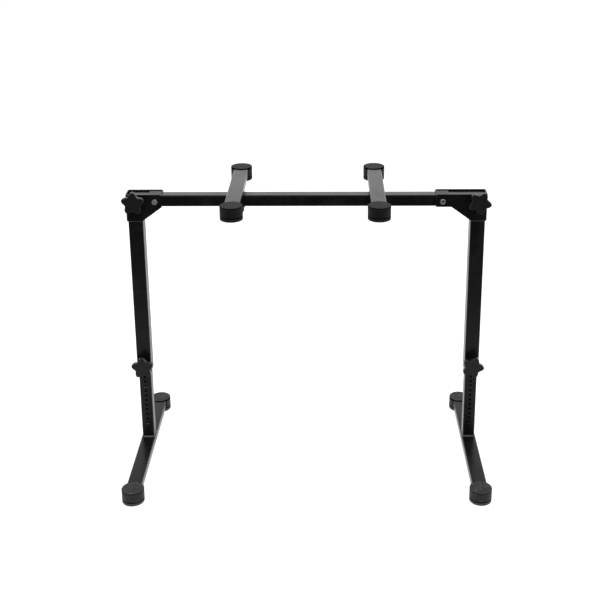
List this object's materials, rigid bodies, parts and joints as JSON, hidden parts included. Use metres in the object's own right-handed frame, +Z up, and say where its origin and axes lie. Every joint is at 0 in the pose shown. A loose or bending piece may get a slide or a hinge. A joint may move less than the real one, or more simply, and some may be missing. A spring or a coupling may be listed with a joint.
{
  "type": "table keyboard stand",
  "caption": "Table style keyboard stand: telescoping T legs fold under a crossbar that carries two sliding support arms with rubber caps.",
  "frame": {"origin": "on the floor, at the middle of the four feet", "axes": "+X to the right along the crossbar, +Y from the player to the back, +Z up"},
  "size_m": [0.9431, 0.526, 0.76],
  "materials": {
    "powder_coat": "satin black powder coat",
    "foot_rubber": "moulded black rubber",
    "knob_plastic": "fine grained black plastic",
    "guide_plastic": "plain black plastic",
    "zinc_steel": "zinc plated"
  },
  "bodies": {
    "crossbar": {"crossbar": "powder_coat", "crossbar_plug_left": "guide_plastic", "crossbar_plug_right": "guide_plastic", "crossbar_liner_left": "guide_plastic", "crossbar_liner_right": "guide_plastic"},
    "leg_left": {"leg_tube_left": "powder_coat", "bracket_left": "powder_coat", "bracket_weld_left": "powder_coat", "guide_bush_left": "guide_plastic", "pivot_bolt_left": "zinc_steel", "pivot_nut_left": "zinc_steel", "fold_boss_left": "powder_coat", "height_boss_left": "powder_coat"},
    "leg_right": {"leg_tube_right": "powder_coat", "bracket_right": "powder_coat", "bracket_weld_right": "powder_coat", "guide_bush_right": "guide_plastic", "pivot_bolt_right": "zinc_steel", "pivot_nut_right": "zinc_steel", "fold_boss_right": "powder_coat", "height_boss_right": "powder_coat"},
    "base_left": {"inner_tube_left": "powder_coat", "glide_cap_left": "guide_plastic", "base_bar_left": "powder_coat", "base_weld_left": "powder_coat", "foot_front_left": "foot_rubber", "foot_rear_left": "foot_rubber"},
    "base_right": {"inner_tube_right": "powder_coat", "glide_cap_right": "guide_plastic", "base_bar_right": "powder_coat", "base_weld_right": "powder_coat", "foot_front_right": "foot_rubber", "foot_rear_right": "foot_rubber"},
    "arm_left": {"arm_tube_left": "powder_coat", "arm_saddle_left": "powder_coat", "arm_cap_front_left": "foot_rubber", "arm_cap_rear_left": "foot_rubber", "arm_bolt_left": "zinc_steel"},
    "arm_right": {"arm_tube_right": "powder_coat", "arm_saddle_right": "powder_coat", "arm_cap_front_right": "foot_rubber", "arm_cap_rear_right": "foot_rubber", "arm_bolt_right": "zinc_steel"},
    "fold_washer_left": {"fold_washer_left": "zinc_steel"},
    "fold_washer_right": {"fold_washer_right": "zinc_steel"},
    "fold_knob_left": {"fold_knob_left": "knob_plastic", "fold_screw_left": "zinc_steel"},
    "fold_knob_right": {"fold_knob_right": "knob_plastic", "fold_screw_right": "zinc_steel"},
    "height_washer_left": {"height_washer_left": "zinc_steel"},
    "height_washer_right": {"height_washer_right": "zinc_steel"},
    "height_knob_left": {"height_knob_left": "knob_plastic", "height_screw_left": "zinc_steel"},
    "height_knob_right": {"height_knob_right": "knob_plastic", "height_screw_right": "zinc_steel"},
    "arm_washer_left": {"arm_washer_left": "zinc_steel"},
    "arm_washer_right": {"arm_washer_right": "zinc_steel"},
    "arm_knob_left": {"arm_knob_left": "knob_plastic"},
    "arm_knob_right": {"arm_knob_right": "knob_plastic"}
  },
  "joints": [
    {"name": "fold_left", "type": "hinge", "parent": "crossbar", "child": "leg_left", "pos_m": [-0.3895, 0.0315, 0.7204], "axis": [0, -1, 0], "range_deg": [0, 90]},
    {"name": "fold_right", "type": "hinge", "parent": "crossbar", "child": "leg_right", "pos_m": [0.3495, 0.0315, 0.7204], "axis": [0, 1, 0], "range_deg": [0, 90]},
    {"name": "height_left", "type": "slide", "parent": "leg_left", "child": "base_left", "axis": [0, 0, 1], "range_m": [-0.14, 0.182]},
    {"name": "height_right", "type": "slide", "parent": "leg_right", "child": "base_right", "axis": [0, 0, 1], "range_m": [-0.14, 0.182]},
    {"name": "arm_slide_left", "type": "slide", "parent": "crossbar", "child": "arm_left", "axis": [-1, 0, 0], "range_m": [-0.14, 0.12]},
    {"name": "arm_slide_right", "type": "slide", "parent": "crossbar", "child": "arm_right", "axis": [1, 0, 0], "range_m": [-0.14, 0.12]},
    {"name": "fold_screw_travel_left", "type": "slide", "parent": "leg_left", "child": "fold_washer_left", "axis": [0, -1, 0], "range_m": [0, 0.0025]},
    {"name": "fold_screw_travel_right", "type": "slide", "parent": "leg_right", "child": "fold_washer_right", "axis": [0, -1, 0], "range_m": [0, 0.0025]},
    {"name": "fold_knob_turn_left", "type": "hinge", "parent": "fold_washer_left", "child": "fold_knob_left", "pos_m": [-0.442, -0.0077, 0.7234], "axis": [0, -1, 0], "range_deg": [0, 722]},
    {"name": "fold_knob_turn_right", "type": "hinge", "parent": "fold_washer_right", "child": "fold_knob_right", "pos_m": [0.442, -0.0077, 0.7234], "axis": [0, -1, 0], "range_deg": [0, 722]},
    {"name": "height_screw_travel_left", "type": "slide", "parent": "leg_left", "child": "height_washer_left", "axis": [0, -1, 0], "range_m": [0, 0.0025]},
    {"name": "height_screw_travel_right", "type": "slide", "parent": "leg_right", "child": "height_washer_right", "axis": [0, -1, 0], "range_m": [0, 0.0025]},
    {"name": "height_knob_turn_left", "type": "hinge", "parent": "height_washer_left", "child": "height_knob_left", "pos_m": [-0.442, -0.004, 0.259], "axis": [0, -1, 0], "range_deg": [0, 722]},
    {"name": "height_knob_turn_right", "type": "hinge", "parent": "height_washer_right", "child": "height_knob_right", "pos_m": [0.442, -0.004, 0.259], "axis": [0, -1, 0], "range_deg": [0, 722]},
    {"name": "arm_screw_travel_left", "type": "slide", "parent": "arm_left", "child": "arm_washer_left", "axis": [0, 1, 0], "range_m": [0, 0.0025]},
    {"name": "arm_screw_travel_right", "type": "slide", "parent": "arm_right", "child": "arm_washer_right", "axis": [0, 1, 0], "range_m": [0, 0.0025]},
    {"name": "arm_knob_turn_left", "type": "hinge", "parent": "arm_washer_left", "child": "arm_knob_left", "pos_m": [-0.18, 0.0525, 0.6969], "axis": [0, 1, 0], "range_deg": [0, 722]},
    {"name": "arm_knob_turn_right", "type": "hinge", "parent": "arm_washer_right", "child": "arm_knob_right", "pos_m": [0.18, 0.0525, 0.6969], "axis": [0, 1, 0], "range_deg": [0, 722]}
  ],
  "couplings": [
    {"joint": "fold_knob_turn_left", "follows": "fold_screw_travel_left", "rad_per_m": 5026.5},
    {"joint": "fold_knob_turn_right", "follows": "fold_screw_travel_right", "rad_per_m": 5026.5},
    {"joint": "height_knob_turn_left", "follows": "height_screw_travel_left", "rad_per_m": 5026.5},
    {"joint": "height_knob_turn_right", "follows": "height_screw_travel_right", "rad_per_m": 5026.5},
    {"joint": "arm_knob_turn_left", "follows": "arm_screw_travel_left", "rad_per_m": 5026.5},
    {"joint": "arm_knob_turn_right", "follows": "arm_screw_travel_right", "rad_per_m": 5026.5}
  ]
}
